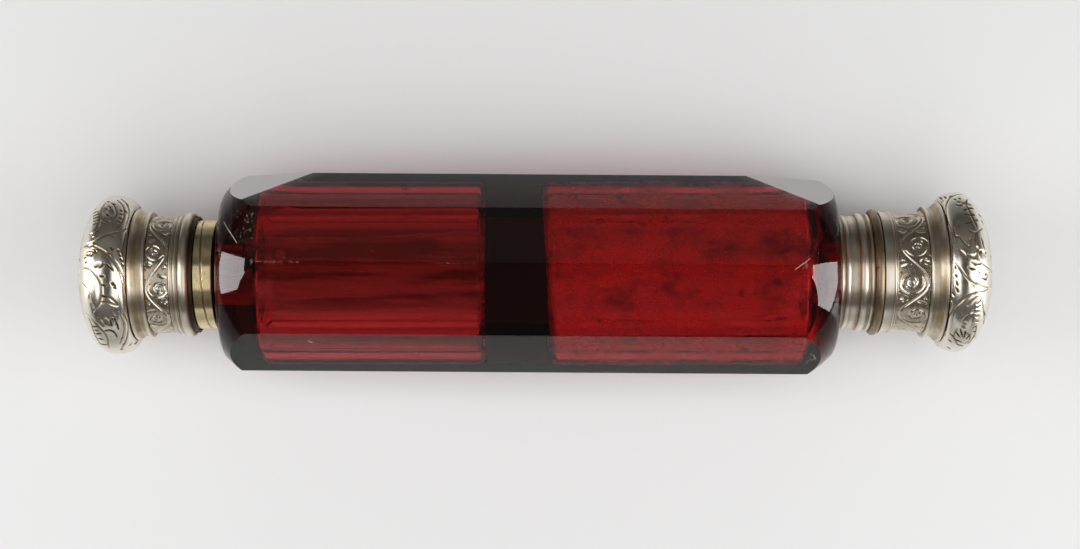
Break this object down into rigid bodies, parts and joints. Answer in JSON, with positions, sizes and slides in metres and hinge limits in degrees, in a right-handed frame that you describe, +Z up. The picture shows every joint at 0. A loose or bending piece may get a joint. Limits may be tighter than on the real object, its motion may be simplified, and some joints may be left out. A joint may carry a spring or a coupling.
{
  "type": "double-ended scent bottle",
  "caption": "Faceted ruby glass bottle with two sealed chambers, a silver screw cap on one neck and a hinged silver lid over a glass stopper on the other.",
  "frame": {"origin": "middle of the cut facet that the bottle lies on", "axes": "+X along the bottle from the screw cap to the hinged lid, +Z up from the resting facet, +Y across"},
  "size_m": [0.1291, 0.0289, 0.0275],
  "materials": {
    "ruby_glass": "cut and polished, deep ruby, with faint scratches",
    "clear_glass": "ground plug, polished head",
    "silver": "polished and hand-engraved silver with brown tarnish in the cuts",
    "gilt": "worn gilding over silver",
    "cork": "natural cork",
    "cement": "off-white plaster cement"
  },
  "bodies": {
    "bottle": {"glass_body": "ruby_glass", "screw_neck_cement": "cement", "screw_collar": "gilt", "hinge_neck_cement": "cement", "hinge_collar": "silver", "lid_seat_bezel": "gilt", "collar_hinge_leaf": "silver", "hinge_pin": "silver"},
    "cork": {"cork_seal": "cork"},
    "screw_cap": {"cork_pan": "gilt", "cap_threaded_sleeve": "gilt", "cap_rim_bead": "silver", "cap_reed_ring": "silver", "cap_drum": "silver", "cap_shoulder_band": "silver", "cap_crown": "silver"},
    "lid": {"lid_hinge_leaf": "silver", "lid_rim_roll": "silver", "lid_flange": "silver", "lid_drum": "silver", "lid_shoulder_band": "silver", "lid_crown": "silver", "lid_liner": "gilt"},
    "stopper": {"glass_stopper": "clear_glass"}
  },
  "joints": [
    {"name": "cap_travel", "type": "slide", "parent": "bottle", "child": "cork", "axis": [-1, 0, 0], "range_m": [0, 0.0036]},
    {"name": "cap_turn", "type": "hinge", "parent": "cork", "child": "screw_cap", "pos_m": [-0.0525, 0, 0.01339], "axis": [-1, 0, 0], "range_deg": [0, 1080]},
    {"name": "lid_hinge", "type": "hinge", "parent": "bottle", "child": "lid", "pos_m": [0.04829, 0, 0.00314], "axis": [0, 1, 0], "range_deg": [0, 110]},
    {"name": "stopper_pull", "type": "slide", "parent": "bottle", "child": "stopper", "axis": [1, 0, 0], "range_m": [0, 0.0055]}
  ],
  "couplings": [
    {"joint": "cap_turn", "follows": "cap_travel", "rad_per_m": 5236}
  ]
}
